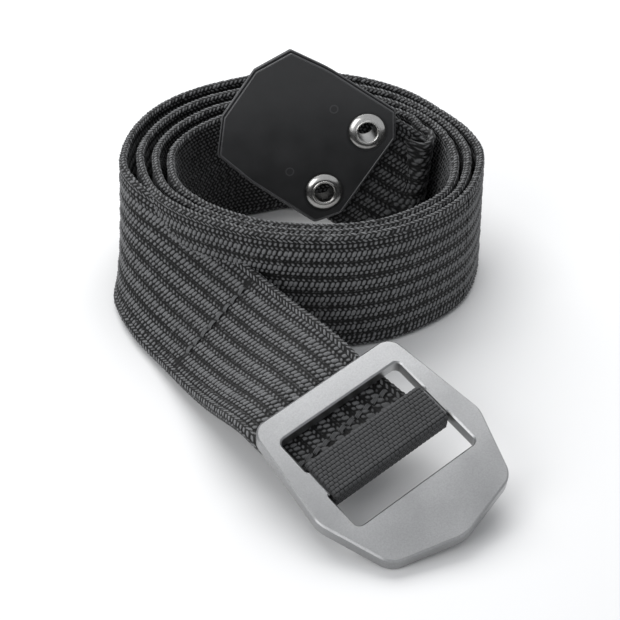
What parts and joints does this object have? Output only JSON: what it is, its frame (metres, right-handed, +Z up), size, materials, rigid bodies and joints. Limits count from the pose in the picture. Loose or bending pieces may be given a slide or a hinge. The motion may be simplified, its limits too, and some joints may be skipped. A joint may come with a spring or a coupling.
{
  "type": "stretch webbing belt",
  "caption": "Coiled stretch-webbing belt with a slotted metal frame buckle at its outer end and a moulded hook plate with eyelets at its inner end.",
  "frame": {"origin": "centre of the bounding box, on the surface that the coil stands on", "axes": "+Z up, along the webbing width in the coil; the buckle nose points along -Y, the coil lies towards +Y"},
  "size_m": [0.1348, 0.1778, 0.0657],
  "materials": {
    "elastic": "ribbed woven elastic, matte",
    "ribbon": "fine woven ribbon, slight sheen",
    "thread": "matte sewing thread",
    "frame": "bead-blasted satin with bright edges",
    "plate": "satin moulded",
    "eyelet": "bright nickel"
  },
  "bodies": {
    "belt": {"webbing": "elastic", "ribbon_tail": "ribbon", "bar_seam": "thread", "cross_seam": "thread"},
    "buckle": {"buckle_frame": "frame", "bar_ribbon": "ribbon"},
    "hook_end": {"webbing_end": "elastic", "hook_plate": "plate", "eyelet_upper": "eyelet", "eyelet_lower": "eyelet", "eyelet_washer_upper": "eyelet", "eyelet_washer_lower": "eyelet"}
  },
  "joints": [
    {"name": "buckle_flex", "type": "hinge", "parent": "belt", "child": "buckle", "pos_m": [-0.04004, -0.04977, 0.01362], "axis": [0.9799, -0.06, 0.1901], "range_deg": [0, 60]},
    {"name": "neck_flex", "type": "hinge", "parent": "belt", "child": "hook_end", "pos_m": [0.04233, 0.02425, 0.0206], "axis": [0.5759, -0.2098, 0.7901], "range_deg": [-5, 15]}
  ]
}
